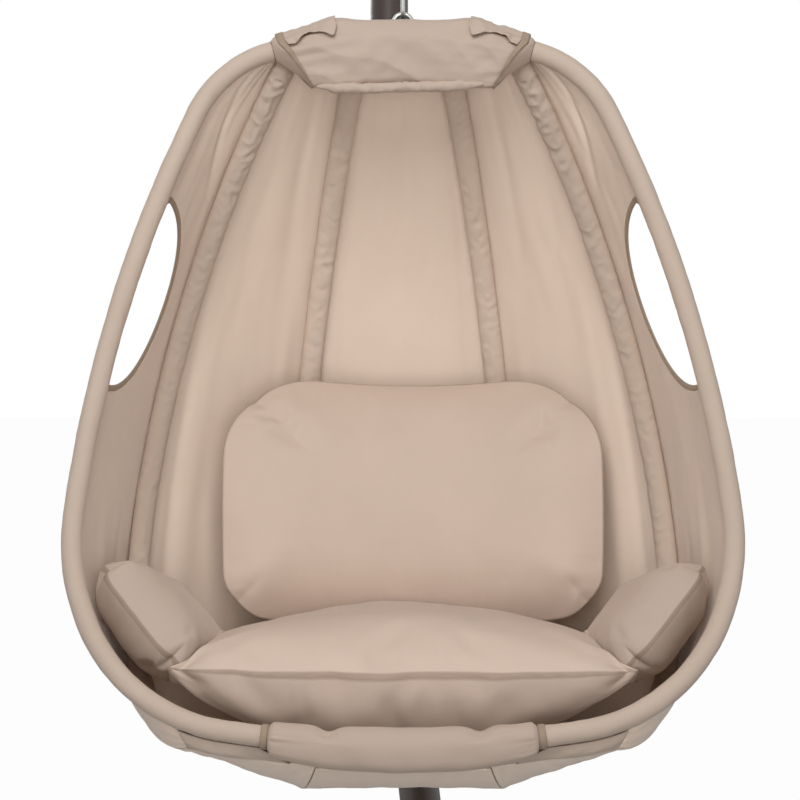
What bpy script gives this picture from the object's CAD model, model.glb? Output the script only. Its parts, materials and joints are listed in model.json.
# %% [markdown]
# # A hanging pod chair
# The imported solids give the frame: every piece below is modelled in the same metres, in the
# same place, and rides on one of the frame's bodies. The hard parts keep their solids and get
# finishes. The soft parts, which are the cloth pod, the sleeves on its tubes, the pads and the
# cushions, are made here.

# %% Load the frame
import bpy
import bmesh
import json
import math
from mathutils import Matrix, Vector, noise
from mathutils.bvhtree import BVHTree
from mathutils.kdtree import KDTree


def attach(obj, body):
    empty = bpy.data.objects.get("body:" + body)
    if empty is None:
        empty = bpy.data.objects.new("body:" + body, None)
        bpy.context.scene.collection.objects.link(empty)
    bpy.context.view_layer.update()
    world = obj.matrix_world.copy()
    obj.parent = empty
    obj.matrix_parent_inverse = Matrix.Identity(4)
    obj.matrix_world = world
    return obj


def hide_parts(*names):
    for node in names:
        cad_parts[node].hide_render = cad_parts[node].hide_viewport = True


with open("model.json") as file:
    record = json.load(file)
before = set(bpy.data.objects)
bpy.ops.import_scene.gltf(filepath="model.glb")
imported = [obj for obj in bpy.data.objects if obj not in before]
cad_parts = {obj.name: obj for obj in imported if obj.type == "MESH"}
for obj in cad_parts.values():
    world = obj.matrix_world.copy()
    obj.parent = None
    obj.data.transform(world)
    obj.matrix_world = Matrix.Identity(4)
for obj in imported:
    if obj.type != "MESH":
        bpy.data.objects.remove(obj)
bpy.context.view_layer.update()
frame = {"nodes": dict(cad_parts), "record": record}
nodes = frame["nodes"]
scene = bpy.context.scene

# %% [markdown]
# The hoop is an egg of tangent arcs in a plane that leans back, and each rib is a flat bend
# from the top of the hoop round the back to its bottom. Cloth follows those lines, so the same
# arcs are laid out here from their named sizes. A path is a list of arcs, and a place on it is
# a distance along it.

# %% Arcs that meet end to end
def unit(deg):
    return math.cos(math.radians(deg)), math.sin(math.radians(deg))


def arc_step(radius, heading, turn):
    side = math.copysign(1.0, turn)
    (c1, s1), (c2, s2) = unit(heading), unit(heading + turn)
    return side * radius * (s2 - s1), side * radius * (c1 - c2)


def solve_arcs(dx, dy, heading, runs):
    """Fills in two unknown radii so that the arcs end dx, dy from their start."""
    columns = []
    for radius, turn in runs:
        step = arc_step(radius or 1.0, heading, turn)
        if radius is None:
            columns.append(step)
        else:
            dx, dy = dx - step[0], dy - step[1]
        heading += turn
    (ax, ay), (bx, by) = columns
    det = ax * by - ay * bx
    found = [(dx * by - dy * bx) / det, (ax * dy - ay * dx) / det]
    return [(found.pop(0) if radius is None else radius, turn) for radius, turn in runs]


print("a quarter turn of radius 1 ends at", [round(v, 3) for v in arc_step(1.0, 0.0, 90.0)])

# %% [markdown]
# One class carries a row of such arcs into space. It keeps where each arc begins, so a distance
# along the path leads straight to a point and to the directions there.

# %% A path in space
class Path:
    """Tangent arcs in the x and y of a plane; at() gives a point and the ways along and left."""

    def __init__(self, origin, x_dir, y_dir, start, heading, arcs):
        self.origin, self.x_dir, self.y_dir = origin, x_dir, y_dir
        self.normal = x_dir.cross(y_dir)
        self.rows, self.length = [], 0.0
        x, y = start
        for radius, turn in arcs:
            size = radius * math.radians(abs(turn))
            self.rows.append((self.length, size, radius, turn, x, y, heading))
            dx, dy = arc_step(radius, heading, turn)
            x, y, heading = x + dx, y + dy, heading + turn
            self.length += size

    def flat(self, s):
        s = s % self.length if s < 0 or s > self.length else s
        for begin, size, radius, turn, x, y, heading in self.rows:
            if s <= begin + size + 1e-12:
                break
        part = turn * (s - begin) / size
        dx, dy = arc_step(radius, heading, part) if abs(part) > 1e-12 else (0.0, 0.0)
        return x + dx, y + dy, heading + part

    def at(self, s):
        x, y, heading = self.flat(s)
        c, sn = unit(heading)
        along = self.x_dir * c + self.y_dir * sn
        left = self.y_dir * c - self.x_dir * sn
        return self.origin + self.x_dir * x + self.y_dir * y, along, left


ring = Path(Vector(), Vector((1, 0, 0)), Vector((0, 1, 0)), (0, 0), 0, [(1.0, 90)] * 4)
print("a ring of radius 1 is", round(ring.length, 3), "round")

# %% [markdown]
# The hoop is the mouth of the pod: an egg with its broad end down, leaning back by 18 degrees.
# It could be traced as a free curve, but a bent tube is a row of arcs. Two radii above the
# widest place and two below it are left open, and they follow from the egg's height and width.

# %% The hoop
HANG = Vector((-0.060745, -0.061220, 0.0))
HOOP_BEHIND = 0.026
LEAN = math.radians(18.0)
UP = Vector((0.0, math.sin(LEAN), math.cos(LEAN)))
BACK = Vector((0.0, math.cos(LEAN), -math.sin(LEAN)))
ABOVE, BELOW, HALF_WIDTH = 0.788, 0.304, 0.485
hoop_top = HANG + Vector((0.0, -HOOP_BEHIND, 0.5 + (ABOVE + BELOW) * math.cos(LEAN)))
lower = solve_arcs(-HALF_WIDTH, -BELOW, -90, [(None, -24), (0.260, -57), (None, -9)])
upper = solve_arcs(
    HALF_WIDTH, -ABOVE, 0, [(None, -16), (0.180, -50), (None, -18), (lower[0][0], -6)]
)
half = upper + lower
hoop = Path(hoop_top - UP * ABOVE, Vector((1, 0, 0)), UP, (0, ABOVE), 0, half + half[::-1])
GIRTH = hoop.length
WIDEST = sum(r * math.radians(-t) for r, t in upper)


def on_hoop(x, top):
    """Distance round the hoop, clockwise from its top, to a given sideways place."""
    a, b = (0.0, WIDEST) if top else (WIDEST, GIRTH / 2)
    for _ in range(50):
        mid = (a + b) / 2
        if (hoop.flat(mid)[0] < abs(x)) == top:
            a = mid
        else:
            b = mid
    return a if x >= 0 else GIRTH - a


print("hoop girth", round(GIRTH, 3))

# %% [markdown]
# Each rib leaves the hoop near its top, swings out behind the sitter and comes back to the hoop
# below. It is bent in one flat plane. The two ribs on a side differ only in their sizes, so
# those stand in a table and the other side is mirrored.

# %% The ribs
RIB = {
    "outer": dict(top=0.165, low=0.290, depth=0.330, plane=60.0, start=40.0, end=190.0),
    "inner": dict(top=0.062, low=0.120, depth=0.520, plane=81.0, start=20.0, end=205.0),
}
RIB_DEEPEST, RIB_BEND = 0.65, 15.0
ribs = {}
for side, hand in ((-1, "left"), (1, "right")):
    for kind, r in RIB.items():
        top = hoop.at(on_hoop(side * r["top"], True))[0]
        low = hoop.at(on_hoop(side * r["low"], False))[0]
        chord = top - low
        outward = (Vector((side * chord.dot(UP), 0, 0)) - UP * (side * chord.x)).normalized()
        c, s = unit(r["plane"])
        deep = outward * c + BACK * s
        drop = RIB_DEEPEST * chord.length
        fall = solve_arcs(
            r["depth"], -drop, -r["start"],
            [(None, RIB_BEND + r["start"] - 90), (None, -RIB_BEND)],
        )
        rise = solve_arcs(
            -r["depth"], drop - chord.length, -90,
            [(None, -RIB_BEND), (None, 90 + RIB_BEND - r["end"])],
        )
        ribs[f"{kind}_{hand}"] = Path(
            low, deep, chord.normalized(), (0, chord.length), -r["start"], fall + rise
        )
print("rib lengths", {k: round(v.length, 3) for k, v in ribs.items()})

# %% [markdown]
# The camera stands where the picture was taken from: 3.4 m from the pod, a little above the
# middle of it and looking slightly down, with a long lens. Its place follows from the hoop's
# egg as the picture shows it.

# %% Camera
FOCAL_PX, FRAME_PX = 2289.0, 800.0
PITCH, CAMERA_AWAY = math.radians(4.0), 3.4
AIM_BELOW_TOP, AIM_ASIDE = 0.583, -0.0045
target = hoop_top - UP * AIM_BELOW_TOP + Vector((AIM_ASIDE, 0.0, 0.0))
lens = bpy.data.cameras.new("camera")
lens.sensor_width = 36.0
lens.lens = FOCAL_PX / FRAME_PX * lens.sensor_width
camera = bpy.data.objects.new("camera", lens)
scene.collection.objects.link(camera)
camera.location = target + Vector((0.0, -math.cos(PITCH), math.sin(PITCH))) * CAMERA_AWAY
camera.rotation_euler = (math.pi / 2 - PITCH, 0.0, 0.0)
scene.camera = camera
print("camera at", [round(v, 3) for v in camera.location])

# %% [markdown]
# The world is a soft dome of weak, slightly warm light. Rays from the camera and mirror rays
# see plain white instead, so the backdrop is white without any more light on the chair.

# %% White world
scene.view_settings.view_transform = "Standard"
world = bpy.data.worlds.new("studio")
scene.world = world
world.use_nodes = True
wn, wl = world.node_tree.nodes, world.node_tree.links
wn.clear()
dome, white, mix, out = (
    wn.new("ShaderNodeBackground"), wn.new("ShaderNodeBackground"), wn.new("ShaderNodeMixShader"),
    wn.new("ShaderNodeOutputWorld"),
)
dome.inputs["Color"].default_value = (1.0, 0.985, 0.97, 1.0)
dome.inputs["Strength"].default_value = 0.30
white.inputs["Color"].default_value = (1.0, 1.0, 1.0, 1.0)
white.inputs["Strength"].default_value = 1.0
rays = wn.new("ShaderNodeLightPath")
either = wn.new("ShaderNodeMath")
either.operation = "MAXIMUM"
third = wn.new("ShaderNodeMath")
third.operation = "MAXIMUM"
wl.new(rays.outputs["Is Camera Ray"], either.inputs[0])
wl.new(rays.outputs["Is Glossy Ray"], either.inputs[1])
wl.new(either.outputs[0], third.inputs[0])
wl.new(rays.outputs["Is Transmission Ray"], third.inputs[1])
wl.new(third.outputs[0], mix.inputs["Fac"])
wl.new(dome.outputs[0], mix.inputs[1])
wl.new(white.outputs[0], mix.inputs[2])
wl.new(mix.outputs[0], out.inputs["Surface"])
print("world nodes", len(wn))

# %% [markdown]
# One large lamp stands high in front, a weak one at the right, and one behind that draws the
# edges. Two more stand in front and light only the inside of the pod. They are told near the
# end which pieces those are.

# %% Lamps
LAMPS = {
    "key": ((-0.35, -2.8, 3.1), (0.0, 0.1, 0.95), 1.8, 73.0),
    "fill_right": ((2.9, -2.2, 1.5), (0.0, 0.0, 0.9), 2.0, 8.0),
    "rim_back": ((-1.5, 3.2, 2.6), (0.0, 0.0, 1.0), 2.0, 36.0),
    "inside": ((0.0, -3.3, 0.80), (0.0, 0.1, 1.05), 1.6, 30.0),
    "within": ((0.0, -3.3, 1.00), (0.0, 0.1, 0.95), 1.6, 26.0),
}
lamps = {}
for name, (place, aim, size, watts) in LAMPS.items():
    data = bpy.data.lights.new(name, "AREA")
    data.shape, data.size, data.energy = "SQUARE", size, watts
    lamp = bpy.data.objects.new(name, data)
    scene.collection.objects.link(lamp)
    lamp.location = HANG + Vector(place)
    look = HANG + Vector(aim) - (HANG + Vector(place))
    lamp.rotation_euler = look.to_track_quat("-Z", "Y").to_euler()
    lamps[name] = lamp
print("lamps in watts", {name: lamp.data.energy for name, lamp in lamps.items()})

# %% [markdown]
# The floor has to vanish into the white of the picture. Its own colour is a light grey, and for
# camera rays nearly all of it glows. That lifts it to the backdrop and leaves a faint shadow
# under the stand.

# %% Floor
bm = bmesh.new()
bmesh.ops.create_grid(bm, x_segments=1, y_segments=1, size=12.0)
mesh = bpy.data.meshes.new("floor")
bm.to_mesh(mesh)
bm.free()
floor = bpy.data.objects.new("floor", mesh)
scene.collection.objects.link(floor)
print("floor corners", len(mesh.vertices))

# %% Floor finish
FLOOR_GLOW = 0.97


def new_material(name):
    mat = bpy.data.materials.new(name)
    mat.use_nodes = True
    return mat, mat.node_tree.nodes, mat.node_tree.links, mat.node_tree.nodes["Principled BSDF"]


mat, n, l, shader = new_material("pale_floor")
shader.inputs["Base Color"].default_value = (0.60, 0.60, 0.60, 1.0)
shader.inputs["Roughness"].default_value = 0.9
glow = n.new("ShaderNodeEmission")
lp = n.new("ShaderNodeLightPath")
share = n.new("ShaderNodeMath")
share.operation = "MULTIPLY"
share.inputs[1].default_value = FLOOR_GLOW
blend = n.new("ShaderNodeMixShader")
l.new(lp.outputs["Is Camera Ray"], share.inputs[0])
l.new(share.outputs[0], blend.inputs["Fac"])
l.new(shader.outputs[0], blend.inputs[1])
l.new(glow.outputs[0], blend.inputs[2])
l.new(blend.outputs[0], n["Material Output"].inputs["Surface"])
floor.data.materials.append(mat)
print("share of the floor that glows for the camera", FLOOR_GLOW)

# %% [markdown]
# All the cloth is one brushed taupe polyester, and the photograph shows it a little lighter
# where it is stretched and darker in the tapes. The weave runs along each piece's own UV map,
# which is laid out in metres, so the threads keep their size on every piece. Two crossed waves
# make the threads, a fine noise breaks them up, and a slow noise shifts the colour as dye does.

# %% A cloth finish
def cloth_material(name, colour, thread=0.0009, bump=0.25, drift=0.06):
    mat, n, l, shader = new_material(name)
    uv = n.new("ShaderNodeUVMap")
    uv.uv_map = "cloth"
    waves = []
    for axis in ("X", "Y"):
        w = n.new("ShaderNodeTexWave")
        w.bands_direction = axis
        w.inputs["Scale"].default_value = 0.5 / thread
        w.inputs["Distortion"].default_value = 1.2
        w.inputs["Detail Scale"].default_value = 3.0
        l.new(uv.outputs[0], w.inputs["Vector"])
        waves.append(w)
    threads = n.new("ShaderNodeMath")
    threads.operation = "MAXIMUM"
    l.new(waves[0].outputs["Fac"], threads.inputs[0])
    l.new(waves[1].outputs["Fac"], threads.inputs[1])
    fuzz = n.new("ShaderNodeTexNoise")
    fuzz.inputs["Scale"].default_value = 420.0
    fuzz.inputs["Detail"].default_value = 4.0
    l.new(uv.outputs[0], fuzz.inputs["Vector"])
    relief = n.new("ShaderNodeMath")
    relief.operation = "MULTIPLY_ADD"
    l.new(fuzz.outputs["Fac"], relief.inputs[0])
    relief.inputs[1].default_value = 0.8
    l.new(threads.outputs[0], relief.inputs[2])
    slow = n.new("ShaderNodeTexNoise")
    slow.inputs["Scale"].default_value = 7.0
    slow.inputs["Detail"].default_value = 5.0
    slow.inputs["Roughness"].default_value = 0.6
    l.new(uv.outputs[0], slow.inputs["Vector"])
    tint = n.new("ShaderNodeMixRGB")
    tint.inputs["Color1"].default_value = (*[c * (1 - drift) for c in colour], 1.0)
    tint.inputs["Color2"].default_value = (*[min(1.0, c * (1 + drift)) for c in colour], 1.0)
    l.new(slow.outputs["Fac"], tint.inputs["Fac"])
    dark = n.new("ShaderNodeMixRGB")
    dark.blend_type = "MULTIPLY"
    dark.inputs["Fac"].default_value = 0.12
    l.new(tint.outputs[0], dark.inputs["Color1"])
    l.new(relief.outputs[0], dark.inputs["Color2"])
    l.new(dark.outputs[0], shader.inputs["Base Color"])
    knit = n.new("ShaderNodeBump")
    knit.inputs["Strength"].default_value = bump
    knit.inputs["Distance"].default_value = 0.0004
    l.new(relief.outputs[0], knit.inputs["Height"])
    l.new(knit.outputs[0], shader.inputs["Normal"])
    shader.inputs["Roughness"].default_value = 0.82
    shader.inputs["Sheen Weight"].default_value = 0.18
    shader.inputs["Sheen Roughness"].default_value = 0.4
    shader.inputs["Specular IOR Level"].default_value = 0.25
    return mat


# %% [markdown]
# Three cloths come out of it: the pod's, a slightly darker one for the cushions and covers, and
# a coarser, darker tape. Their colours are written as a screen writes them and turned into the
# shader's linear values.

# %% The three cloths
def srgb(r, g, b):
    return [((v / 255 + 0.055) / 1.055) ** 2.4 for v in (r, g, b)]


pod_cloth = cloth_material("pod_cloth", srgb(206, 187, 171))
cushion_cloth = cloth_material("cushion_cloth", srgb(200, 180, 165))
tape_cloth = cloth_material("tape_cloth", srgb(172, 152, 132), thread=0.0013, bump=0.5)
print("cloth finishes made")

# %% [markdown]
# The stand and the pod's tubes are powder-coated a dark brown. Powder coat is a thin baked skin
# with a faint orange-peel surface and a satin shine, so a fine noise drives the bump and a slow
# one the roughness. The chain and the hooks are zinc plated, with a dull crystalline mottle.

# %% A baked or plated finish
def coat_material(name, colour, metallic, rough, grain, bump):
    mat, n, l, shader = new_material(name)
    place = n.new("ShaderNodeTexCoord")
    fine, slow = n.new("ShaderNodeTexNoise"), n.new("ShaderNodeTexNoise")
    fine.inputs["Scale"].default_value = grain
    fine.inputs["Detail"].default_value = 3.0
    slow.inputs["Scale"].default_value = grain / 25
    slow.inputs["Detail"].default_value = 6.0
    for t in (fine, slow):
        l.new(place.outputs["Object"], t.inputs["Vector"])
    tint = n.new("ShaderNodeMixRGB")
    tint.inputs["Color1"].default_value = (*[c * 0.85 for c in colour], 1.0)
    tint.inputs["Color2"].default_value = (*[min(1.0, c * 1.18) for c in colour], 1.0)
    l.new(slow.outputs["Fac"], tint.inputs["Fac"])
    l.new(tint.outputs[0], shader.inputs["Base Color"])
    spread = n.new("ShaderNodeMapRange")
    spread.inputs["To Min"].default_value = rough - 0.07
    spread.inputs["To Max"].default_value = rough + 0.07
    l.new(slow.outputs["Fac"], spread.inputs["Value"])
    l.new(spread.outputs[0], shader.inputs["Roughness"])
    peel = n.new("ShaderNodeBump")
    peel.inputs["Strength"].default_value = bump
    peel.inputs["Distance"].default_value = 0.0006
    l.new(fine.outputs["Fac"], peel.inputs["Height"])
    l.new(peel.outputs[0], shader.inputs["Normal"])
    shader.inputs["Metallic"].default_value = metallic
    return mat


# %% [markdown]
# Each hard node names its finish in the frame's record, so one loop paints them all. The soft
# nodes are left out of it, since their cloth is made below.

# %% Paint the hard nodes
finishes = {
    "stand_paint": coat_material("stand_paint", srgb(62, 50, 46), 0.0, 0.42, 700.0, 0.25),
    "frame_paint": coat_material("frame_paint", srgb(66, 55, 50), 0.0, 0.45, 700.0, 0.25),
    "zinc": coat_material("zinc", srgb(170, 170, 166), 1.0, 0.38, 240.0, 0.15),
    "rubber": coat_material("rubber", srgb(36, 35, 35), 0.0, 0.75, 900.0, 0.4),
}
for entry in frame["record"]["subparts"]:
    mat = finishes.get(entry["material_slot"])
    if mat:
        node = nodes[entry["node"]]
        node.data.materials.clear()
        node.data.materials.append(mat)
print("hard nodes painted")

# %% [markdown]
# Every cloth piece starts as a flat grid, as cloth does, and its vertices are then carried to
# their place by a function of the two directions of the weave. The grid's own coordinates
# become the UV map in metres.

# %% A grid of cloth carried to its place
def cloth_grid(
    name, across, along, width, length, place, material, closed=False, thick=0.0
):
    """Grid of across by along squares; place(u, v) gives the point for u, v from 0 to 1."""
    bm = bmesh.new()
    bmesh.ops.create_grid(bm, x_segments=across, y_segments=along, size=0.5)
    uv = bm.loops.layers.uv.new("cloth")
    for face in bm.faces:
        for loop in face.loops:
            loop[uv].uv = ((loop.vert.co.x + 0.5) * width, (loop.vert.co.y + 0.5) * length)
    for v in bm.verts:
        v.co = place(v.co.x + 0.5, v.co.y + 0.5)
    if closed:
        bmesh.ops.remove_doubles(bm, verts=bm.verts, dist=1e-5)
        bmesh.ops.recalc_face_normals(bm, faces=bm.faces)
    mesh = bpy.data.meshes.new(name)
    bm.to_mesh(mesh)
    bm.free()
    for p in mesh.polygons:
        p.use_smooth = True
    obj = bpy.data.objects.new(name, mesh)
    scene.collection.objects.link(obj)
    mesh.materials.append(material)
    if thick:
        wall = obj.modifiers.new("thickness", "SOLIDIFY")
        wall.thickness, wall.offset = thick, 0.0
    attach(obj, "chair")
    return obj


def lump(x, y, z=0.0):
    """Smooth noise between about -1 and 1."""
    return noise.noise(Vector((x, y, z)))


print("noise at one spot", round(lump(0.3, 0.7), 3))

# %% [markdown]
# A sleeve is a tube of cloth pulled over a metal tube. On the hoop it is tight, with faint
# slanting drag lines. On the ribs it is a wider band, gathered on its bend, so it ruches: short
# wrinkles run across it, close together near the top where the most cloth is gathered.

# %% A sleeve of cloth
def sleeve(name, path, s0, s1, reach, radius, count):
    """Tube of cloth round a path; radius(s, angle) gives its size, and angle 0 points left."""
    girth, length = 2 * math.pi * reach, abs(s1 - s0)
    lift = path.normal

    def place(u, v):
        s, angle = s0 + (s1 - s0) * v, 2 * math.pi * u
        p, along, left = path.at(s)
        r = radius(s, angle)
        return p + (left * math.cos(angle) + lift * math.sin(angle)) * r

    piece = cloth_grid(
        name, 28, count, girth, length, place, pod_cloth, closed=True, thick=0.001
    )
    return piece


# %% [markdown]
# The two sleeves on the hoop run from the top cover to the bottom cover, one down each side.

# %% Sleeves on the hoop
SLEEVE_RADIUS = 0.0150


def hoop_radius(s, angle):
    drag = lump(s * 22 + angle * 0.8, math.cos(angle) * 0.7, math.sin(angle) * 0.7)
    fine = lump(s * 60, math.cos(angle), math.sin(angle))
    return SLEEVE_RADIUS + 0.0007 * drag + 0.0004 * fine


TOP_END, LOW_END = on_hoop(0.201, True), on_hoop(0.193, False)
for hand, a, b in (("right", TOP_END, LOW_END), ("left", GIRTH - LOW_END, GIRTH - TOP_END)):
    piece = sleeve(f"hoop_sleeve_{hand}_cloth", hoop, a, b, SLEEVE_RADIUS, hoop_radius, 420)
    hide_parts(f"hoop_sleeve_{hand}")
    print("hoop sleeve", hand, "from", round(a, 3), "to", round(b, 3))

# %% [markdown]
# The band on a rib is an oval tube. Ridged noise along it gives the wrinkles, and a share that
# falls off from both ends makes them deepest where the cloth is bunched, above all at the top.

# %% Gathered bands on the ribs
def ruche(seed, length):
    """An oval band with ridged wrinkles across it, deepest on the side that faces the sitter."""
    def radius(s, angle):
        gather = 0.40 + 1.0 * math.exp(-s / 0.26) + 0.3 * math.exp(-(length - s) / 0.2)
        c, sn = math.cos(angle), math.sin(angle)
        inner = 0.25 + 0.75 * max(0.0, -c) ** 0.5
        sag = s + 0.006 * sn * sn + 0.004 * lump(s * 14, sn, seed)
        ridge = 0.55 - 1.5 * abs(lump(sag * 58 + seed, sn * 0.9, seed))
        fine = lump(s * 150 + seed, c * 2.0, sn * 2.0)
        oval = 1.0 / math.hypot(c / 0.0110, sn / 0.0168)
        band = oval + gather * inner * (0.0040 * ridge + 0.0008 * fine)
        return max(band, 0.0126) if s < 0.06 else band
    return radius


BAND_REACH = 0.014
inner_bands = []
for i, (label, rib) in enumerate(ribs.items()):
    start, end = 0.026 if label.startswith("outer") else 0.050, rib.length - 0.050
    radius = ruche(i * 7.3, rib.length)
    piece = sleeve(f"rib_sleeve_{label}_cloth", rib, start, end, BAND_REACH, radius, 620)
    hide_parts(f"rib_sleeve_{label}")
    if label.startswith("inner"):
        inner_bands.append(piece)
print("bands made on", list(ribs))

# %% [markdown]
# The pod is five panels. Each is sewn to two lines: the outer ones to the hoop and an outer
# rib, the others to two ribs. Cloth pulled between two lines is close to a ruled surface, so a
# grid is stretched from line to line. Real panels are never quite taut: long soft folds run
# from top to bottom, and the sewing gathers small puckers along the ribs. Those are added along
# the surface's normal and fade out at the seams.

# %% Lines that the panels are sewn to
CLOTH_OFF_RIB = {"outer": 0.026, "inner": 0.020}
PANEL_END, CENTRE_TOP, CENTRE_LOW = 0.036, 0.080, 0.042
CLOTH_THICK = 0.0014
SEAM_PAST_TOP, SEAM_PAST_LOW, CLOTH_OFF_HOOP = 0.045, 0.040, 0.0167
pod_middle = hoop_top - UP * ABOVE + BACK * 0.26


def rib_line(label, top=PANEL_END, low=PANEL_END):
    rib, reach = ribs[label], CLOTH_OFF_RIB[label.split("_")[0]]

    def at(v):
        p, along, left = rib.at(top + (rib.length - top - low) * v)
        return p + left * reach
    return at


def hoop_line(side):
    s0 = on_hoop(RIB["outer"]["top"] + SEAM_PAST_TOP, True)
    s1 = on_hoop(RIB["outer"]["low"] + SEAM_PAST_LOW, False)

    def at(v):
        s = s0 + (s1 - s0) * v
        return hoop.at(s if side > 0 else GIRTH - s)[0] + BACK * CLOTH_OFF_HOOP
    return at


PANELS = {
    "left_outer": (hoop_line(-1), rib_line("outer_left")),
    "left_inner": (rib_line("outer_left"), rib_line("inner_left")),
    "centre": (
        rib_line("inner_left", CENTRE_TOP, CENTRE_LOW),
        rib_line("inner_right", CENTRE_TOP, CENTRE_LOW),
    ),
    "right_inner": (rib_line("inner_right"), rib_line("outer_right")),
    "right_outer": (rib_line("outer_right"), hoop_line(1)),
}
print("panels to sew", list(PANELS))

# %% [markdown]
# The main folds are placed by hand, as a tailor would chalk them. Each is a soft crease from
# one (u, v) to another, with a depth and a half width in metres. Slow and fine noise fill in
# the rest.

# %% Folds
FOLDS = {
    "left_outer": [(0.30, 0.02, 0.75, 0.20, 0.004, 0.016), (0.45, 0.62, 0.60, 0.95, -0.004, 0.020),
                   (0.70, 0.60, 0.80, 0.92, 0.003, 0.012)],
    "left_inner": [(0.16, 0.30, 0.22, 0.85, 0.004, 0.012), (0.28, 0.34, 0.30, 0.90, -0.003, 0.018),
                   (0.60, 0.02, 0.72, 0.30, 0.003, 0.020), (0.80, 0.30, 0.82, 0.75, -0.003, 0.016)],
    "centre": [(0.10, 0.08, 0.14, 0.60, 0.003, 0.012), (0.88, 0.08, 0.84, 0.62, 0.003, 0.012),
               (0.35, 0.15, 0.30, 0.65, -0.0025, 0.030), (0.62, 0.20, 0.68, 0.60, 0.002, 0.028)],
    "right_inner": [(0.86, 0.32, 0.80, 0.88, 0.004, 0.012), (0.70, 0.30, 0.68, 0.90, -0.003, 0.018),
                    (0.40, 0.02, 0.30, 0.32, 0.003, 0.020),
                    (0.18, 0.30, 0.20, 0.75, -0.003, 0.016)],
    "right_outer": [(0.70, 0.02, 0.25, 0.20, 0.004, 0.016), (0.55, 0.60, 0.40, 0.95, -0.004, 0.020),
                    (0.30, 0.62, 0.22, 0.92, 0.003, 0.012)],
}


def fold_depth(folds, u, v, wide, tall, seed):
    """How far the cloth stands off its straight surface at u, v."""
    lift = 0.0
    for u0, v0, u1, v1, depth, half_width in folds:
        ax, ay, bx, by = u0 * wide, v0 * tall, u1 * wide, v1 * tall
        dx, dy = bx - ax, by - ay
        t = ((u * wide - ax) * dx + (v * tall - ay) * dy) / (dx * dx + dy * dy)
        c = min(1.0, max(0.0, t))
        away = math.hypot(u * wide - ax - dx * c, v * tall - ay - dy * c)
        taper = math.sin(math.pi * min(1.0, max(0.0, t * 0.9 + 0.05)))
        lift += depth * taper * math.exp(-((away / half_width) ** 2))
    lift += 0.0030 * lump(u * wide * 11 + seed, v * tall * 2.4, seed)
    lift += 0.0009 * lump(u * wide * 34 + seed, v * tall * 9, seed + 5)
    seam = min(u, 1 - u) * wide
    pucker = 0.0016 * math.exp(-seam / 0.030) * lump(v * tall * 55, seam * 20, seed + 9)
    end = min(v, 1 - v) * tall
    gather = 0.0040 * math.exp(-end / 0.09) * lump(u * wide * 30, seed + 3, v * 2)
    return (lift + pucker + gather) * min(1.0, seam / 0.014) * min(1.0, end / 0.010 + 0.2)


print("folds", {name: len(folds) for name, folds in FOLDS.items()})

# %% [markdown]
# A panel's grid runs straight from one line to the other, and each point is then lifted by its
# fold. The flat size is the widest and the longest way over the panel, and the area says how
# much of that is cut.

# %% Sew the panels
PANEL_MESH, SEAM_INSET, CLOTH_LIFT = 0.0052, 0.0006, 0.0008


def ruled(lines, u, v):
    return lines[0](v).lerp(lines[1](v), u)


def outward_at(lines, u, v):
    e = 0.004
    along = ruled(lines, u, min(1.0, v + e)) - ruled(lines, u, max(0.0, v - e))
    n = (lines[1](v) - lines[0](v)).cross(along).normalized()
    return n if n.dot(ruled(lines, u, v) - pod_middle) > 0 else -n


panel_objects = {}
for i, (name, lines) in enumerate(PANELS.items()):
    tall = max(sum((line(k / 40) - line((k + 1) / 40)).length for k in range(40)) for line in lines)
    wide = max((lines[0](k / 20) - lines[1](k / 20)).length for k in range(21))
    rows = {}

    def place(u, v, lines=lines, rows=rows, wide=wide, tall=tall, name=name, seed=i * 3.1):
        key = round(v, 6)
        if key not in rows:
            rows[key] = (
                lines[0](v), lines[1](v), outward_at(lines, 0.02, v), outward_at(lines, 0.98, v)
            )
        a, b, na, nb = rows[key]
        n = na.lerp(nb, u).normalized()
        inset = SEAM_INSET / max((b - a).length, 0.01)
        lift = CLOTH_LIFT + fold_depth(FOLDS[name], u, v, wide, tall, seed)
        return a.lerp(b, inset + (1 - 2 * inset) * u) + n * lift

    across, along = max(40, round(wide / PANEL_MESH)), round(tall / PANEL_MESH)
    piece = cloth_grid(
        f"panel_{name}_cloth", across, along, wide, tall, place, pod_cloth, thick=CLOTH_THICK
    )
    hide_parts(f"panel_{name}")
    panel_objects[name] = piece
    steps = [k / 40 for k in range(41)]
    middle = sum(
        (ruled(lines, 0.5, a) - ruled(lines, 0.5, b)).length for a, b in zip(steps, steps[1:])
    )
    area = sum((lines[0](v) - lines[1](v)).length for v in steps) / len(steps) * middle
    print(name, "flat", round(wide, 3), "by", round(tall, 3), "area", round(area, 3))

# %% [markdown]
# Below the outer ribs the inner panels turn under the hoop and are sewn to its sleeve as far as
# the bottom cover. That corner is a narrow strip: one edge follows the underside of the sleeve,
# and the other is the low edge of the panel, so the pod closes there.

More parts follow.
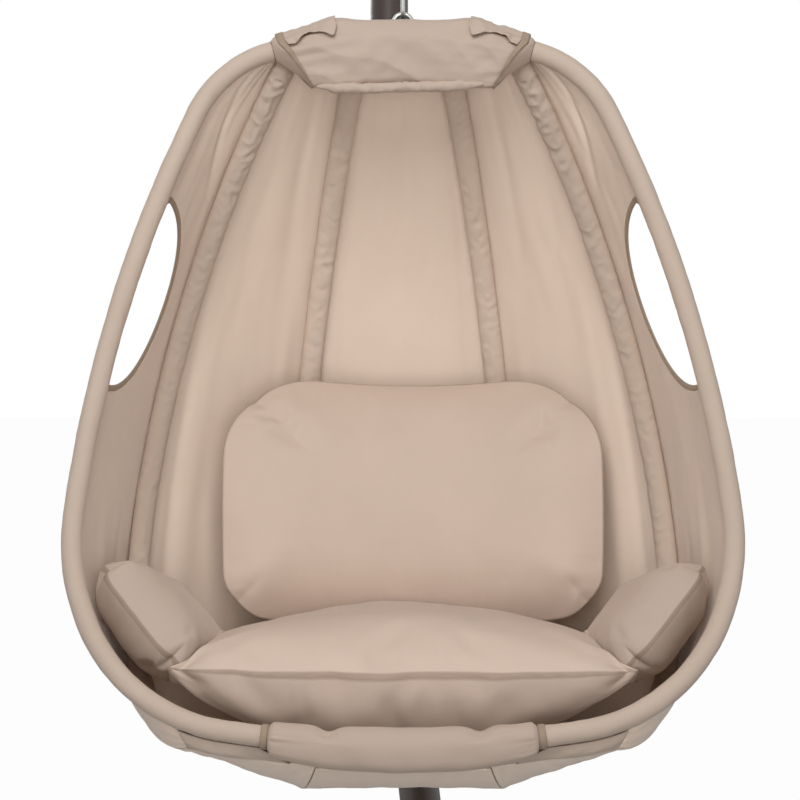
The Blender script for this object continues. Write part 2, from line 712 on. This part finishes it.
# %% The turned-under corners
CORNER_FROM, CORNER_TO, CORNER_OFF_HOOP = 0.329, 0.206, 0.0168
for hand, side in (("left", -1), ("right", 1)):
    outer, inner = rib_line(f"outer_{hand}")(1.0), rib_line(f"inner_{hand}")(1.0)
    s0, s1 = on_hoop(CORNER_FROM, False), on_hoop(CORNER_TO, False)

    def place(u, v, side=side, outer=outer, inner=inner, s0=s0, s1=s1):
        s = s0 + (s1 - s0) * u
        p, along, left = hoop.at(s if side > 0 else GIRTH - s)
        turn = math.radians(80) * min(1.0, u / 0.12)
        sewn = p + (BACK * math.cos(turn) + left * math.sin(turn)) * CORNER_OFF_HOOP
        low = outer.lerp(inner, 0.005 + 0.80 * u) + left * 0.0022
        sag = 0.010 * math.sin(math.pi * v) * math.sin(math.pi * min(1.0, u + 0.1))
        rough = 0.0016 * lump(u * 7, v * 3, side * 2.0) * math.sin(math.pi * v)
        return sewn.lerp(low, v) + left * (sag + rough)

    corner = cloth_grid(
        f"panel_{hand}_corner", 60, 24, 0.16, 0.05, place, pod_cloth, thick=CLOTH_THICK
    )
    rows = [[place(k / 20, j / 8) for k in range(21)] for j in range(9)]
    across = sum((rows[4][k] - rows[4][k + 1]).length for k in range(20))
    down = sum((rows[j][10] - rows[j + 1][10]).length for j in range(8))
    print("corner", hand, "flat", round(across, 3), "by", round(down, 3))

# %% [markdown]
# Each outer panel has an arm opening shaped like a half moon, wide enough for a forearm. The
# hole is cut with a boolean against a moon-shaped prism, which leaves a clean edge however the
# folds run. The edge is bound with a folded tape, swept round the same outline.

# %% Outline of an arm opening
OPENING_POINTS = 160
MOON_FRONT, MOON_DEPTH, MOON_CORNER = 0.034, 0.187, 0.018
MOON_LOW, MOON_HIGH = 0.232, 0.540
moon_mid, moon_half = (MOON_LOW + MOON_HIGH) / 2, (MOON_HIGH - MOON_LOW) / 2
moon_sagitta = MOON_DEPTH - MOON_FRONT
moon_radius = (moon_half**2 + moon_sagitta**2) / (2 * moon_sagitta)
moon_centre = MOON_DEPTH - moon_radius


def moon_outline(count, inset=0.0):
    """Points (depth, height) round the opening: a chord and a big arc joined by corner arcs."""
    r = MOON_CORNER - inset
    cx = MOON_FRONT + MOON_CORNER
    reach = moon_radius - MOON_CORNER
    rise = math.sqrt(reach**2 - (cx - moon_centre) ** 2)
    turn = math.degrees(math.atan2(rise, cx - moon_centre))
    big = moon_radius - inset
    points = []
    for k in range(count // 2):
        a = math.radians(-turn + 2 * turn * k / (count // 2))
        points.append((moon_centre + big * math.cos(a), moon_mid + big * math.sin(a)))
    for k in range(count // 8):
        a = math.radians(turn + (180 - turn) * k / (count // 8))
        points.append((cx + r * math.cos(a), moon_mid + rise + r * math.sin(a)))
    for k in range(count // 4):
        points.append((cx - r, moon_mid + rise - 2 * rise * k / (count // 4)))
    for k in range(count // 8):
        a = math.radians(180 + (180 - turn) * k / (count // 8))
        points.append((cx + r * math.cos(a), moon_mid - rise + r * math.sin(a)))
    return points


print("opening", round(2 * moon_half, 3), "tall, back arc of radius", round(moon_radius, 3))

# %% [markdown]
# The outline becomes a prism that passes through the panel from side to side. The boolean takes
# it out of the thickened cloth and is then applied, so the prism can be thrown away.

# %% Cut the arm openings
def apply_modifiers(obj):
    graph = bpy.context.evaluated_depsgraph_get()
    mesh = bpy.data.meshes.new_from_object(
        obj.evaluated_get(graph), preserve_all_data_layers=True, depsgraph=graph
    )
    obj.modifiers.clear()
    obj.data = mesh
    for p in mesh.polygons:
        p.use_smooth = True


for side, name in ((-1, "left_outer"), (1, "right_outer")):
    bm = bmesh.new()
    start = hoop_top - UP * ABOVE + Vector((side * 0.25, 0, 0))
    ring = [bm.verts.new(start + BACK * w + UP * h) for w, h in moon_outline(OPENING_POINTS)]
    face = bm.faces.new(ring)
    grown = bmesh.ops.extrude_face_region(bm, geom=[face])
    far = [g for g in grown["geom"] if isinstance(g, bmesh.types.BMVert)]
    bmesh.ops.translate(bm, verts=far, vec=Vector((side * 0.35, 0, 0)))
    bmesh.ops.recalc_face_normals(bm, faces=bm.faces)
    mesh = bpy.data.meshes.new("moon")
    bm.to_mesh(mesh)
    bm.free()
    cutter = bpy.data.objects.new("moon", mesh)
    scene.collection.objects.link(cutter)
    piece = panel_objects[name]
    cut = piece.modifiers.new("opening", "BOOLEAN")
    cut.operation, cut.object, cut.solver = "DIFFERENCE", cutter, "EXACT"
    bpy.context.view_layer.update()
    apply_modifiers(piece)
    bpy.data.objects.remove(cutter)
    print(name, "faces after the cut", len(piece.data.polygons))

# %% [markdown]
# The tape round an opening is folded over the raw edge. For each point of the outline, Newton
# steps find where the panel passes through it, and a flat oval tube is swept along those spots.

# %% Bindings round the openings
def on_panel(lines, w, h):
    """The u, v where the panel has a given depth and height, found by Newton steps."""
    base = hoop_top - UP * ABOVE

    def miss(u, v):
        q = ruled(lines, u, v) - base
        return q.dot(BACK) - w, q.dot(UP) - h

    u, v, e = 0.4, 0.4, 1e-4
    for _ in range(12):
        f = miss(u, v)
        fu, fv = miss(u + e, v), miss(u, v + e)
        a, b, c, d = (fu[0] - f[0]) / e, (fv[0] - f[0]) / e, (fu[1] - f[1]) / e, (fv[1] - f[1]) / e
        det = a * d - b * c
        u = min(1.0, max(0.0, u - (f[0] * d - b * f[1]) / det))
        v = min(1.0, max(0.0, v - (a * f[1] - f[0] * c) / det))
    return u, v


for hand, name in (("left", "left_outer"), ("right", "right_outer")):
    lines = PANELS[name]
    outline = moon_outline(OPENING_POINTS, inset=0.0040)
    spots = []
    for w, h in outline:
        u, v = on_panel(lines, w, h)
        spots.append((ruled(lines, u, v), outward_at(lines, u, v)))
    girth = sum((spots[k][0] - spots[k - 1][0]).length for k in range(len(spots)))

    def place(u, v, spots=spots):
        k = round(v * len(spots)) % len(spots)
        p, n = spots[k]
        along = (spots[(k + 1) % len(spots)][0] - spots[k - 1][0]).normalized()
        m = n.cross(along)
        a = 2 * math.pi * u
        wave = 1.0 + 0.10 * lump(k * 0.35, math.cos(a), 4.0)
        c, s = math.cos(a), math.sin(a)
        flat = 0.0050 * math.copysign(abs(c) ** 0.7, c)
        return p + n * 0.0008 + m * flat + n * (0.0019 * s * wave)

    piece = cloth_grid(
        f"window_binding_{hand}_tape", 12, len(spots), 0.022, girth, place, tape_cloth,
        closed=True,
    )
    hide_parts(f"window_binding_{hand}")
    print("binding", hand, round(girth, 3))

# %% [markdown]
# Two padded covers are wrapped round the hoop: one over the top, where the ribs and the swivel
# plate meet, and one under the sitter's knees. Each is a roll, lofted from a section that
# shrinks at the ends, where a tape ties it to the tube. The top one is loosely filled: its
# upper face is smooth, its front turns under and carries slanting folds, and its cloth gathers
# towards the tapes.

# %% A padded roll round the hoop
def smooth_loop(points, a):
    """A closed curve through the points; a runs from 0 to 1 round it."""
    n = len(points)
    x = a * n
    k, t = int(x) % n, x - int(x)
    p0, p1, p2, p3 = (Vector(points[(k + d) % n]) for d in (-1, 0, 1, 2))
    line, bow, twist = p2 - p0, 2 * p0 - 5 * p1 + 4 * p2 - p3, 3 * p1 - p0 - 3 * p2 + p3
    return 0.5 * (2 * p1 + line * t + bow * t * t + twist * t**3)


def wrapped(cover, t, a, swell=0.0):
    """A point on a cover: t from -1 to 1 along the hoop, a from 0 to 1 round its section."""
    f, o = smooth_loop(cover["section"], a)
    f2, o2 = smooth_loop(cover["section"], (a + 1e-3) % 1.0)
    nf, no = o - o2, f2 - f
    size = math.hypot(nf, no) or 1.0
    full = math.sqrt(max(0.0, 1 - min(1.0, abs(t)) ** 2.4))
    front, out, down = (share + (1 - share) * full for share in cover["ends"])
    f, o = f * front + nf / size * swell, o * (out if o > 0 else down) + no / size * swell
    sway = math.copysign(min(1.0, abs(t)) ** 6, t) * cover["slant"] * min(0.0, o)
    slide = t * cover["half"] + sway
    p, along, left = hoop.at((cover["middle"] + slide) % GIRTH)
    return p - BACK * f + left * o


def loop_length(points):
    return sum((Vector(points[k]) - Vector(points[k - 1])).length for k in range(len(points)))


def roll(name, cover, relief):
    """The stuffed roll itself, drawn in to the tube just past each tape."""
    def place(u, v):
        t = 2 * v - 1
        tuck = max(0.0, abs(t) - 0.96) / 0.04
        f, o = smooth_loop(cover["section"], u)
        skin = wrapped(cover, t, u, relief(t, u, f, o) * (1 - tuck))
        p, along, left = hoop.at((cover["middle"] + t * cover["half"]) % GIRTH)
        ring = p + (left * o - BACK * f).normalized() * 0.0160
        return skin.lerp(ring, tuck**2)

    girth, along = loop_length(cover["section"]), round(2 * cover["half"] / 0.0027)
    obj = cloth_grid(
        name, 112, along, girth, 2 * cover["half"], place, cushion_cloth,
        closed=True,
    )
    return obj


print("halfway round a corner", smooth_loop([(1, 0), (0, 1), (-1, 0), (0, -1)], 0.125))

# %% [markdown]
# The top cover's section is drawn by hand as twelve points, each given by how far it lies in
# front of the tube's middle and how far outside it. A relief adds the slanting folds of the
# front, a soft shoulder on each side, and the gathers at the tapes.

# %% The top cover
TOP = dict(
    middle=0.0, half=0.203, ends=(0.80, 0.84, 0.76), slant=0.7,
    section=[
        (-0.027, -0.012), (-0.019, 0.012), (0.000, 0.0215), (0.018, 0.017),
        (0.029, 0.002), (0.0335, -0.016), (0.028, -0.036), (0.018, -0.058),
        (0.008, -0.076), (-0.003, -0.081), (-0.014, -0.070), (-0.024, -0.042),
    ],
)


def top_relief(t, a, f, o):
    """Slanting folds on the front, and gathers that run in from the tapes at both ends."""
    x = t * TOP["half"]
    front = max(0.0, min(1.0, (f + 0.004) / 0.02))
    under = max(0.0, min(1.0, (-o - 0.004) / 0.024))
    slant = 0.35 - abs(lump(x * 13 + o * 20, o * 8 + 3.0, 1.7)) * 1.6
    cross = lump(x * 30 - o * 40, o * 18, 8.2)
    ends = math.exp(-(TOP["half"] - abs(x)) / 0.050)
    gather = lump(a * 24, x * 9, 4.0)
    crown = max(0.0, min(1.0, (o + 0.010) / 0.02))
    shoulder = 0.0090 * math.exp(-(((abs(x) - 0.104) / 0.034) ** 2)) * crown
    folds = front * under * (1 - ends) * (0.0070 * slant + 0.0020 * cross)
    drawn = ends * (1 - ends) * 0.0100 * gather
    return folds + shoulder + drawn + 0.0008 * lump(x * 60, a * 12, 2.0)


top_pad = roll("top_pad_cloth", TOP, top_relief)
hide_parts("top_pad")
print("top cover faces", len(top_pad.data.polygons))

# %% [markdown]
# The swivel's shank comes up through the top cover, so the cover has a round hole there. The
# faces over the shank are taken out, and the edge that is left is drawn to a circle a few
# millimetres wider than it.

# %% Hole for the swivel
skin = max(v.co.z for v in top_pad.data.vertices if (v.co - HANG).xy.length < 0.01)
shank = [v.co - HANG for v in nodes["swivel_eye"].data.vertices if v.co.z < skin + 0.005]
hole = max(p.xy.length for p in shank) + 0.003
bm = bmesh.new()
bm.from_mesh(top_pad.data)
over = []
for f in bm.faces:
    close = all((v.co - HANG).xy.length < hole for v in f.verts)
    if close and f.calc_center_median().z > skin - 0.02:
        over.append(f)
edge = {v for f in over for v in f.verts if any(g not in over for g in v.link_faces)}
bmesh.ops.delete(bm, geom=over, context="FACES")
for v in edge:
    out = (v.co - HANG).xy
    v.co.xy = HANG.xy + out * (hole / out.length)
bm.to_mesh(top_pad.data)
bm.free()
print("hole for the swivel", round(hole, 4), "faces out", len(over))

# %% [markdown]
# At each end of the top cover a loose flap of its cloth is folded over the front and ends in a
# wavy edge. It could be a cloth simulation, but a sheet that follows the cover's own surface, a
# few millimetres off it, lies well at once.

# %% Flaps of the top cover
FLAP_WIDE, FLAP_TALL, FLAP_SEWN = 0.094, 0.052, 0.135
for hand, side in (("left", -1), ("right", 1)):
    inner, outer = side * 0.50, side * 0.900

    def place(u, v, inner=inner, outer=outer, side=side):
        t = inner + (outer - inner) * u
        hem = 0.375 + 0.026 * math.cos(u * (6.5 - 0.4 * side)) + 0.012 * lump(u * 4, side * 3.0)
        hem -= 0.06 * (1 - min(1.0, u / 0.10)) ** 2
        a = FLAP_SEWN + (hem - FLAP_SEWN) * v
        lift = 0.0022 + 0.0050 * v**3 + 0.0030 * v * lump(u * 9 + side, v * 3, 2.0)
        lift += 0.0020 * v * v * math.sin(u * 11)
        below = top_relief(t, a, *smooth_loop(TOP["section"], a))
        return wrapped(TOP, t, a, below + max(0.0018, lift))

    flap = cloth_grid(
        f"top_pad_flap_{hand}", 56, 40, FLAP_WIDE, FLAP_TALL, place, cushion_cloth,
        thick=0.0012,
    )
    print("flap", hand, "faces", len(flap.data.polygons))

# %% [markdown]
# Along the cover's bottom edge the surplus cloth is rolled into a thin hem. It is a tube of
# uneven size that follows the hoop and closes to a point at both ends.

# %% Hem of the top cover
HEM_FROM, HEM_LONG = -0.150, 0.290


def hem_place(u, v):
    p, along, left = hoop.at((HEM_FROM + HEM_LONG * v) % GIRTH)
    a = 2 * math.pi * u
    r = 0.0080 + 0.0014 * lump(v * 24, math.cos(a), math.sin(a))
    r += 0.0010 * lump(v * 70, math.cos(a), 3.0)
    r *= min(1.0, math.sin(math.pi * v) * 2.4) ** 0.5 if 0 < v < 1 else 0.0
    drop = -0.0870 - 0.0030 * math.sin(v * 4.2) + 0.0020 * lump(v * 12, 1.0)
    drop += 0.012 * abs(2 * v - 1) ** 3
    return p - BACK * (0.006 + r * math.cos(a)) + left * (drop + r * math.sin(a))


hem = cloth_grid(
    "top_pad_hem", 24, 130, 0.050, HEM_LONG, hem_place, cushion_cloth,
    closed=True,
)
print("hem faces", len(hem.data.polygons))

# %% [markdown]
# The bottom cover is the same kind of roll, stuffed more firmly. Its relief is two dents in the
# upper edge, faint gathers at the ends and a slight unevenness.

# %% The bottom cover
LOW = dict(
    middle=GIRTH / 2, half=0.194, ends=(0.62, 0.52, 0.80), slant=0.0,
    section=[
        (-0.030, 0.004), (-0.020, 0.026), (0.000, 0.040), (0.018, 0.034), (0.030, 0.012),
        (0.031, -0.006), (0.020, -0.020), (0.002, -0.025), (-0.016, -0.022), (-0.028, -0.012),
    ],
)
DENTS = (-0.112, 0.108)


def low_relief(t, a, f, o):
    """Smooth, with a dent near each end where the weight on the seat pulls the cloth in."""
    x = t * LOW["half"]
    edge = max(0.0, min(1.0, (-o + 0.004) / 0.016))
    dents = sum(math.exp(-(((x - d) / 0.016) ** 2)) for d in DENTS)
    ends = math.exp(-(LOW["half"] - abs(x)) / 0.030)
    drawn = ends * 0.0030 * lump(a * 24, x * 10, 6.0)
    return -0.0085 * edge * dents + drawn + 0.0016 * lump(x * 22, a * 7, 3.0)


bottom_pad = roll("bottom_pad_cloth", LOW, low_relief)
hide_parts("bottom_pad")
print("bottom cover faces", len(bottom_pad.data.polygons))

# %% [markdown]
# The tapes that tie the covers' ends are flat bands round the roll. They take the end of the
# roll's own section, a little larger, so each lies on the cloth that it gathers.

# %% Tapes at the ends of the covers
def tape_round(name, cover, relief, side, wide, start, girth):
    def place(u, v):
        t = side * (1.0 + (v + start) * wide / cover["half"])
        if start < 0:
            return wrapped(cover, t, u, relief(t, u, *smooth_loop(cover["section"], u)) + 0.0030)
        p, along, left = hoop.at((cover["middle"] + t * cover["half"]) % GIRTH)
        return p + (left * math.sin(2 * math.pi * u) - BACK * math.cos(2 * math.pi * u)) * 0.0174

    tape = cloth_grid(
        name, 72, 4, girth, wide, place, tape_cloth, closed=True, thick=0.0014
    )
    return tape


for hand, side in (("left", -1), ("right", 1)):
    tape_round(f"top_pad_tape_{hand}", TOP, top_relief, side, 0.012, -1.75, 0.24)
    tape_round(f"bottom_pad_tape_{hand}", LOW, low_relief, -side, 0.010, 0.05, 0.11)
print("tapes made")

# %% [markdown]
# A loose cushion is a flat bag, sewn all round and stuffed until it is round. Blender's cloth
# can do the same: a thin closed bag is blown up with a little pressure and no gravity. The bag
# is two grids, one on the other, bridged at the rim. Each point keeps its place in the square
# and in the plan as attributes.

# %% Sew a flat bag
def flat_bag(name, width, depth, outline, across, along):
    """Closed flat bag; outline(x, y) carries a square of -1 to 1 to the bag's plan."""
    bm = bmesh.new()
    bmesh.ops.create_grid(bm, x_segments=across, y_segments=along, size=1.0)
    uv = bm.loops.layers.uv.new("cloth")
    crease = bm.edges.layers.float.new("crease_edge")
    square = bm.verts.layers.float_vector.new("square")
    plan = bm.verts.layers.float_vector.new("plan")
    for v in bm.verts:
        x, y = outline(v.co.x, v.co.y)
        v[square], v[plan] = v.co, (x, y, 0.0)
        v.co = Vector((x, y, 0.0008 + 0.0004 * lump(x * 30, y * 30)))
    for f in bm.faces:
        for loop in f.loops:
            loop[uv].uv = (loop.vert.co.x + width, loop.vert.co.y + depth)
    copy = bmesh.ops.duplicate(bm, geom=bm.verts[:] + bm.edges[:] + bm.faces[:])
    below = [g for g in copy["geom"] if isinstance(g, bmesh.types.BMVert)]
    bmesh.ops.translate(bm, verts=below, vec=Vector((0, 0, -0.0016)))
    turned = [g for g in copy["geom"] if isinstance(g, bmesh.types.BMFace)]
    bmesh.ops.reverse_faces(bm, faces=turned)
    rim = [e for e in bm.edges if e.is_boundary]
    for e in rim:
        e[crease] = 0.5
    bmesh.ops.bridge_loops(bm, edges=rim)
    mesh = bpy.data.meshes.new(name)
    bm.to_mesh(mesh)
    bm.free()
    bag = bpy.data.objects.new(name, mesh)
    scene.collection.objects.link(bag)
    return bag


# %% [markdown]
# The cloth settings are those of a soft, slow fabric with strong damping, so that a few dozen
# frames are enough. The last frame is kept as a plain mesh.

# %% Blow the bag up
def blow_up(bag, pressure, frames):
    cloth = bag.modifiers.new("stuffing", "CLOTH")
    s = cloth.settings
    s.quality, s.mass, s.air_damping = 6, 0.25, 4.0
    s.tension_stiffness = s.compression_stiffness = 22.0
    s.shear_stiffness, s.bending_stiffness = 8.0, 0.6
    s.tension_damping = s.compression_damping = s.shear_damping = 12.0
    s.use_pressure, s.uniform_pressure_force = True, pressure
    s.effector_weights.gravity = 0.0
    cloth.collision_settings.use_collision = False
    cloth.point_cache.frame_start, cloth.point_cache.frame_end = 1, frames
    for f in range(1, frames + 1):
        scene.frame_set(f)
    apply_modifiers(bag)
    scene.frame_set(1)


# %% [markdown]
# A seam can't stretch, so cloth puckers along it. The blown-up bag is smoothed a little, drawn
# back part of the way to its plan so that its outline stays true, and given ridges that start
# at the seam and fade inwards.

# %% Pucker the seam
def pucker_seam(bag, width, depth, pressure, keep):
    """keep is the share of the plan in the finished outline."""
    bm = bmesh.new()
    bm.from_mesh(bag.data)
    for _ in range(4):
        bmesh.ops.smooth_vert(
            bm, verts=bm.verts, factor=0.5, use_axis_x=True, use_axis_y=True, use_axis_z=True
        )
    square = bm.verts.layers.float_vector["square"]
    plan = bm.verts.layers.float_vector["plan"]
    for v in bm.verts:
        v.co.xy = v.co.xy * (1 - keep) + v[plan].xy * keep
        x, y = v[square].xy
        edge = 1 - max(abs(x), abs(y))
        along = y * depth if abs(x) > abs(y) else x * width + 7.0
        ridge = 0.40 - 1.3 * abs(lump(along * 24, edge * 2.0, pressure))
        pucker = 0.0060 * ridge * math.exp(-edge / 0.20) * min(1.0, edge / 0.05)
        drift = 0.0030 * lump(x * width * 7, y * depth * 7, pressure) * min(1.0, edge / 0.3)
        v.co.z += math.copysign(pucker + drift, v.co.z) if edge > 0 else 0.0
    bm.to_mesh(bag.data)
    bm.free()


def sewn_bag(name, width, depth, outline, across, along, pressure, keep):
    bag = flat_bag(name, width, depth, outline, across, along)
    blow_up(bag, pressure, FRAMES)
    pucker_seam(bag, width, depth, pressure, keep)
    return bag


FRAMES = 34
print("frames to blow a bag up", FRAMES)

# %% [markdown]
# Stuffing decides how thick a cushion is, so the bag is scaled to the size it should have, with
# its own height over and under the seam. The plan of most cushions is a rectangle with round
# corners.

# %% Fit the bag and draw its plan
def fit_bag(bag, width, depth, above, below):
    """Scales a blown-up bag to a size; above and below are its heights over and under the seam."""
    co = [v.co.copy() for v in bag.data.vertices]
    low = Vector([min(c[i] for c in co) for i in range(3)])
    high = Vector([max(c[i] for c in co) for i in range(3)])
    mid = (low + high) / 2
    for v in bag.data.vertices:
        v.co.x = (v.co.x - mid.x) * width / (high.x - low.x)
        v.co.y = (v.co.y - mid.y) * depth / (high.y - low.y)
        v.co.z *= above / high.z if v.co.z > 0 else below / -low.z
    blown = [round(h - l, 3) for h, l in zip(high, low)]
    print(bag.name, "blown up to", blown, "fitted to", width, depth, above + below)


def rounded(x, y, width, depth, corner, full=0.02):
    """A square of -1 to 1 as a rectangle with round corners and sides cut full."""
    px, py = x * width / 2, y * depth / 2
    ix, iy = width / 2 - corner, depth / 2 - corner
    ex, ey = abs(px) - ix, abs(py) - iy
    if ex > 0 and ey > 0:
        grow = max(ex, ey) / math.hypot(ex, ey)
        px, py = math.copysign(ix + ex * grow, px), math.copysign(iy + ey * grow, py)
    return px * (1 + full * (1 - y * y)), py * (1 + full * (1 - x * x))


# %% [markdown]
# A cushion must not pass through what it lies on. Points along the ribs go into a search tree,
# and cushion points that come too near are pushed out. Panels and other cushions push along
# their own normals.

# %% Keep the cushions clear
RIB_CLEAR, PANEL_CLEAR, CUSHION_CLEAR, RIB_STEPS = 0.0195, 0.004, 0.003, 300
rib_points = KDTree(len(ribs) * RIB_STEPS)
for i, rib in enumerate(ribs.values()):
    for k in range(RIB_STEPS):
        rib_points.insert(rib.at(rib.length * k / (RIB_STEPS - 1))[0], RIB_STEPS * i + k)
rib_points.balance()
print("points along the ribs", len(ribs) * RIB_STEPS)


def keep_clear(soft, hard, gap, inside=None):
    """Pushes cloth off another piece; inside is a point on the side where the cushion belongs."""
    faces = [p.vertices[:] for p in hard.data.polygons]
    tree = BVHTree.FromPolygons([v.co for v in hard.data.vertices], faces)
    moved = 0
    for v in soft.data.vertices:
        spot, normal, index, far = tree.find_nearest(v.co, 0.03)
        if spot is None:
            continue
        if inside is not None and normal.dot(inside - spot) < 0:
            normal = -normal
        short = gap - (v.co - spot).dot(normal)
        if short > 0:
            v.co += normal * short
            moved += 1
    return moved


def off_ribs(soft, reach):
    moved = 0
    for v in soft.data.vertices:
        spot, index, far = rib_points.find(v.co)
        if far < reach:
            v.co = spot + (v.co - spot).normalized() * reach
            moved += 1
    return moved


def finish_cushion(bag, spot, node, neighbours=()):
    """Carries a bag to its place, clears it, and hands it to the frame."""
    bag.data.transform(spot)
    moved = [off_ribs(bag, RIB_CLEAR)]
    moved += [keep_clear(bag, piece, PANEL_CLEAR, pod_middle) for piece in panel_objects.values()]
    moved += [keep_clear(bag, piece, CUSHION_CLEAR) for piece in neighbours]
    print(node, "points moved clear", moved)
    bag.data.materials.append(cushion_cloth)
    fine = bag.modifiers.new("fine", "SUBSURF")
    fine.levels = fine.render_levels = 1
    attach(bag, "chair")
    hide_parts(node)
    return bag


# %% [markdown]
# The stitched rim of a cushion looks darker than its faces. The attribute from the flat square
# tells how near a point is to the rim, whatever the cushion's shape, and a narrow band of it
# darkens the cloth's colour.

# %% Seam colour
SEAM_BAND, SEAM_SHARE, SEAM_COLOUR = (0.984, 0.998), 0.6, (0.42, 0.36, 0.31, 1.0)
tree = cushion_cloth.node_tree
shader = next(n for n in tree.nodes if n.type == "BSDF_PRINCIPLED")
dye = shader.inputs["Base Color"].links[0].from_socket
square = tree.nodes.new("ShaderNodeAttribute")
square.attribute_name = "square"
size = tree.nodes.new("ShaderNodeVectorMath")
size.operation = "ABSOLUTE"
parts = tree.nodes.new("ShaderNodeSeparateXYZ")
rim = tree.nodes.new("ShaderNodeMath")
rim.operation = "MAXIMUM"
band = tree.nodes.new("ShaderNodeMapRange")
band.inputs["From Min"].default_value, band.inputs["From Max"].default_value = SEAM_BAND
band.inputs["To Max"].default_value = SEAM_SHARE
seam = tree.nodes.new("ShaderNodeMix")
seam.data_type, seam.blend_type = "RGBA", "MULTIPLY"
tree.links.new(square.outputs["Vector"], size.inputs[0])
tree.links.new(size.outputs["Vector"], parts.inputs[0])
tree.links.new(parts.outputs["X"], rim.inputs[0])
tree.links.new(parts.outputs["Y"], rim.inputs[1])
tree.links.new(rim.outputs[0], band.inputs["Value"])
tree.links.new(band.outputs["Result"], seam.inputs[0])
tree.links.new(dye, seam.inputs[6])
seam.inputs[7].default_value = SEAM_COLOUR
tree.links.new(seam.outputs[2], shader.inputs["Base Color"])
print("seam band", SEAM_BAND)

# %% [markdown]
# The back cushion has rounder corners at the top. It leans against the pod and curls forward at
# both sides, so the bag is bent by a parabola across its width before it is carried to its
# place.

# %% The back cushion
BACK_SIZE, BACK_AT = (0.610, 0.410, 0.150), Vector((0.016, 0.146, 0.785))
BACK_LEAN, BACK_CURL, BACK_CORNERS = 70.0, 0.115, (0.15, 0.07)
w, d, t = BACK_SIZE


def back_outline(x, y):
    return rounded(x, y, w, d, BACK_CORNERS[0] if y > 0 else BACK_CORNERS[1])


bag = sewn_bag("back_cushion_cloth", w, d, back_outline, 84, 58, 3.0, keep=0.85)
fit_bag(bag, w, d, t / 2, t / 2)
for v in bag.data.vertices:
    v.co.z += BACK_CURL * (2 * v.co.x / w) ** 2
spot = Matrix.Translation(HANG + BACK_AT) @ Matrix.Rotation(math.radians(BACK_LEAN), 4, "X")
back_cushion = finish_cushion(bag, spot, "back_cushion")

# %% [markdown]
# A bolster lies at each side of the seat, below the arm opening, and is rolled over towards the
# sitter. The two are blown up with slightly different pressures, so that they don't look like
# copies.

# %% The arm bolsters
BOLSTER_SIZE, BOLSTER_AT = (0.250, 0.215, 0.115), (0.362, -0.175, 0.640)
BOLSTER_ROLL, BOLSTER_YAW = 48.0, 24.0
bolsters = []
for side, hand in ((-1, "left"), (1, "right")):
    w, d, t = BOLSTER_SIZE
    bag = sewn_bag(
        f"bolster_{hand}_cloth", w, d, lambda x, y: rounded(x, y, w, d, 0.06),
        46, 40, 3.0 + 0.3 * side, keep=0.4,
    )
    fit_bag(bag, w, d, t / 2, t / 2)
    x, y, z = BOLSTER_AT
    spot = (
        Matrix.Translation(HANG + Vector((side * x, y, z)))
        @ Matrix.Rotation(math.radians(-side * BOLSTER_ROLL), 4, "Y")
        @ Matrix.Rotation(math.radians(90 + side * BOLSTER_YAW), 4, "Z")
    )
    bolsters.append(finish_cushion(bag, spot, f"bolster_{hand}"))

# %% [markdown]
# The seat cushion comes last, because it gives way to the other three. Its back edge is cut
# forward towards the two ends to fit the pod, and it is fuller below the seam than above.

# %% The seat cushion
SEAT_SIZE, SEAT_AT, SEAT_LEAN = (0.690, 0.470, 0.165), Vector((0.0, -0.0796, 0.5726)), -4.0
SEAT_TAPER, SEAT_CURL, SEAT_BELLY = 1.28, 0.010, 1.6


def seat_outline(x, y):
    """Straight front edge; the back edge comes forward towards the two ends."""
    px, py = rounded(x, y, SEAT_SIZE[0], SEAT_SIZE[1], 0.05)
    share = abs(2 * px / SEAT_SIZE[0])
    back = 1 - (y + 1) / 2
    return px, py - SEAT_SIZE[1] / 2 * SEAT_TAPER * share**2.5 * (1 - back)


w, d, t = SEAT_SIZE
bag = sewn_bag("seat_cushion_cloth", w, d, seat_outline, 92, 62, 3.0, keep=0.35)
fit_bag(bag, w, d, t / 2, t / 2 * SEAT_BELLY)
for v in bag.data.vertices:
    v.co.z += SEAT_CURL * (2 * v.co.x / w) ** 2
spot = Matrix.Translation(HANG + SEAT_AT) @ Matrix.Rotation(math.radians(SEAT_LEAN), 4, "X")
seat_cushion = finish_cushion(bag, spot, "seat_cushion", [back_cushion, *bolsters])

print("cushions made")

# %% [markdown]
# Thin cloth lets daylight through, so the inside of such a pod looks about as bright as its
# outside. Two lamps stand in for that light. Light linking lets the first reach the panels
# only, and the second the panels, the inner bands and the two big cushions, so neither lights
# the hoop and the covers in front.

# %% Link the two inner lamps
deep = bpy.data.collections.new("lit_by_inside")
near = bpy.data.collections.new("lit_by_within")
for piece in panel_objects.values():
    deep.objects.link(piece)
for piece in [*panel_objects.values(), *inner_bands, back_cushion, seat_cushion]:
    near.objects.link(piece)
lamps["inside"].light_linking.receiver_collection = deep
lamps["within"].light_linking.receiver_collection = near
